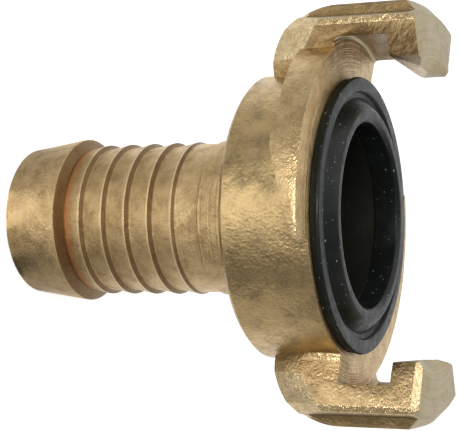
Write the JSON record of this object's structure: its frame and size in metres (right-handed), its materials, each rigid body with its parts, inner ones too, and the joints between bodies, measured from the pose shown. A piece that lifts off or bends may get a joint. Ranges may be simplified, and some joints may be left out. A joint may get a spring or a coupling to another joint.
{
  "type": "claw hose coupling",
  "caption": "Brass claw coupling half for hoses: ridged hose tail, round head with bayonet ramps, hooked claws and a black rubber face seal.",
  "frame": {"origin": "centre of the hose tail's end face, on which the coupling stands", "axes": "+Z along the waterway from the tail to the claws; the two claws lie on +X and -X"},
  "size_m": [0.0582, 0.049, 0.0628],
  "materials": {
    "brass": "hot-forged surface with fine grain; turned faces paler with fine tool marks",
    "rubber": "moulded black rubber, satin"
  },
  "bodies": {
    "root": {"coupling_body": "brass", "seal_ring": "rubber"}
  },
  "joints": []
}
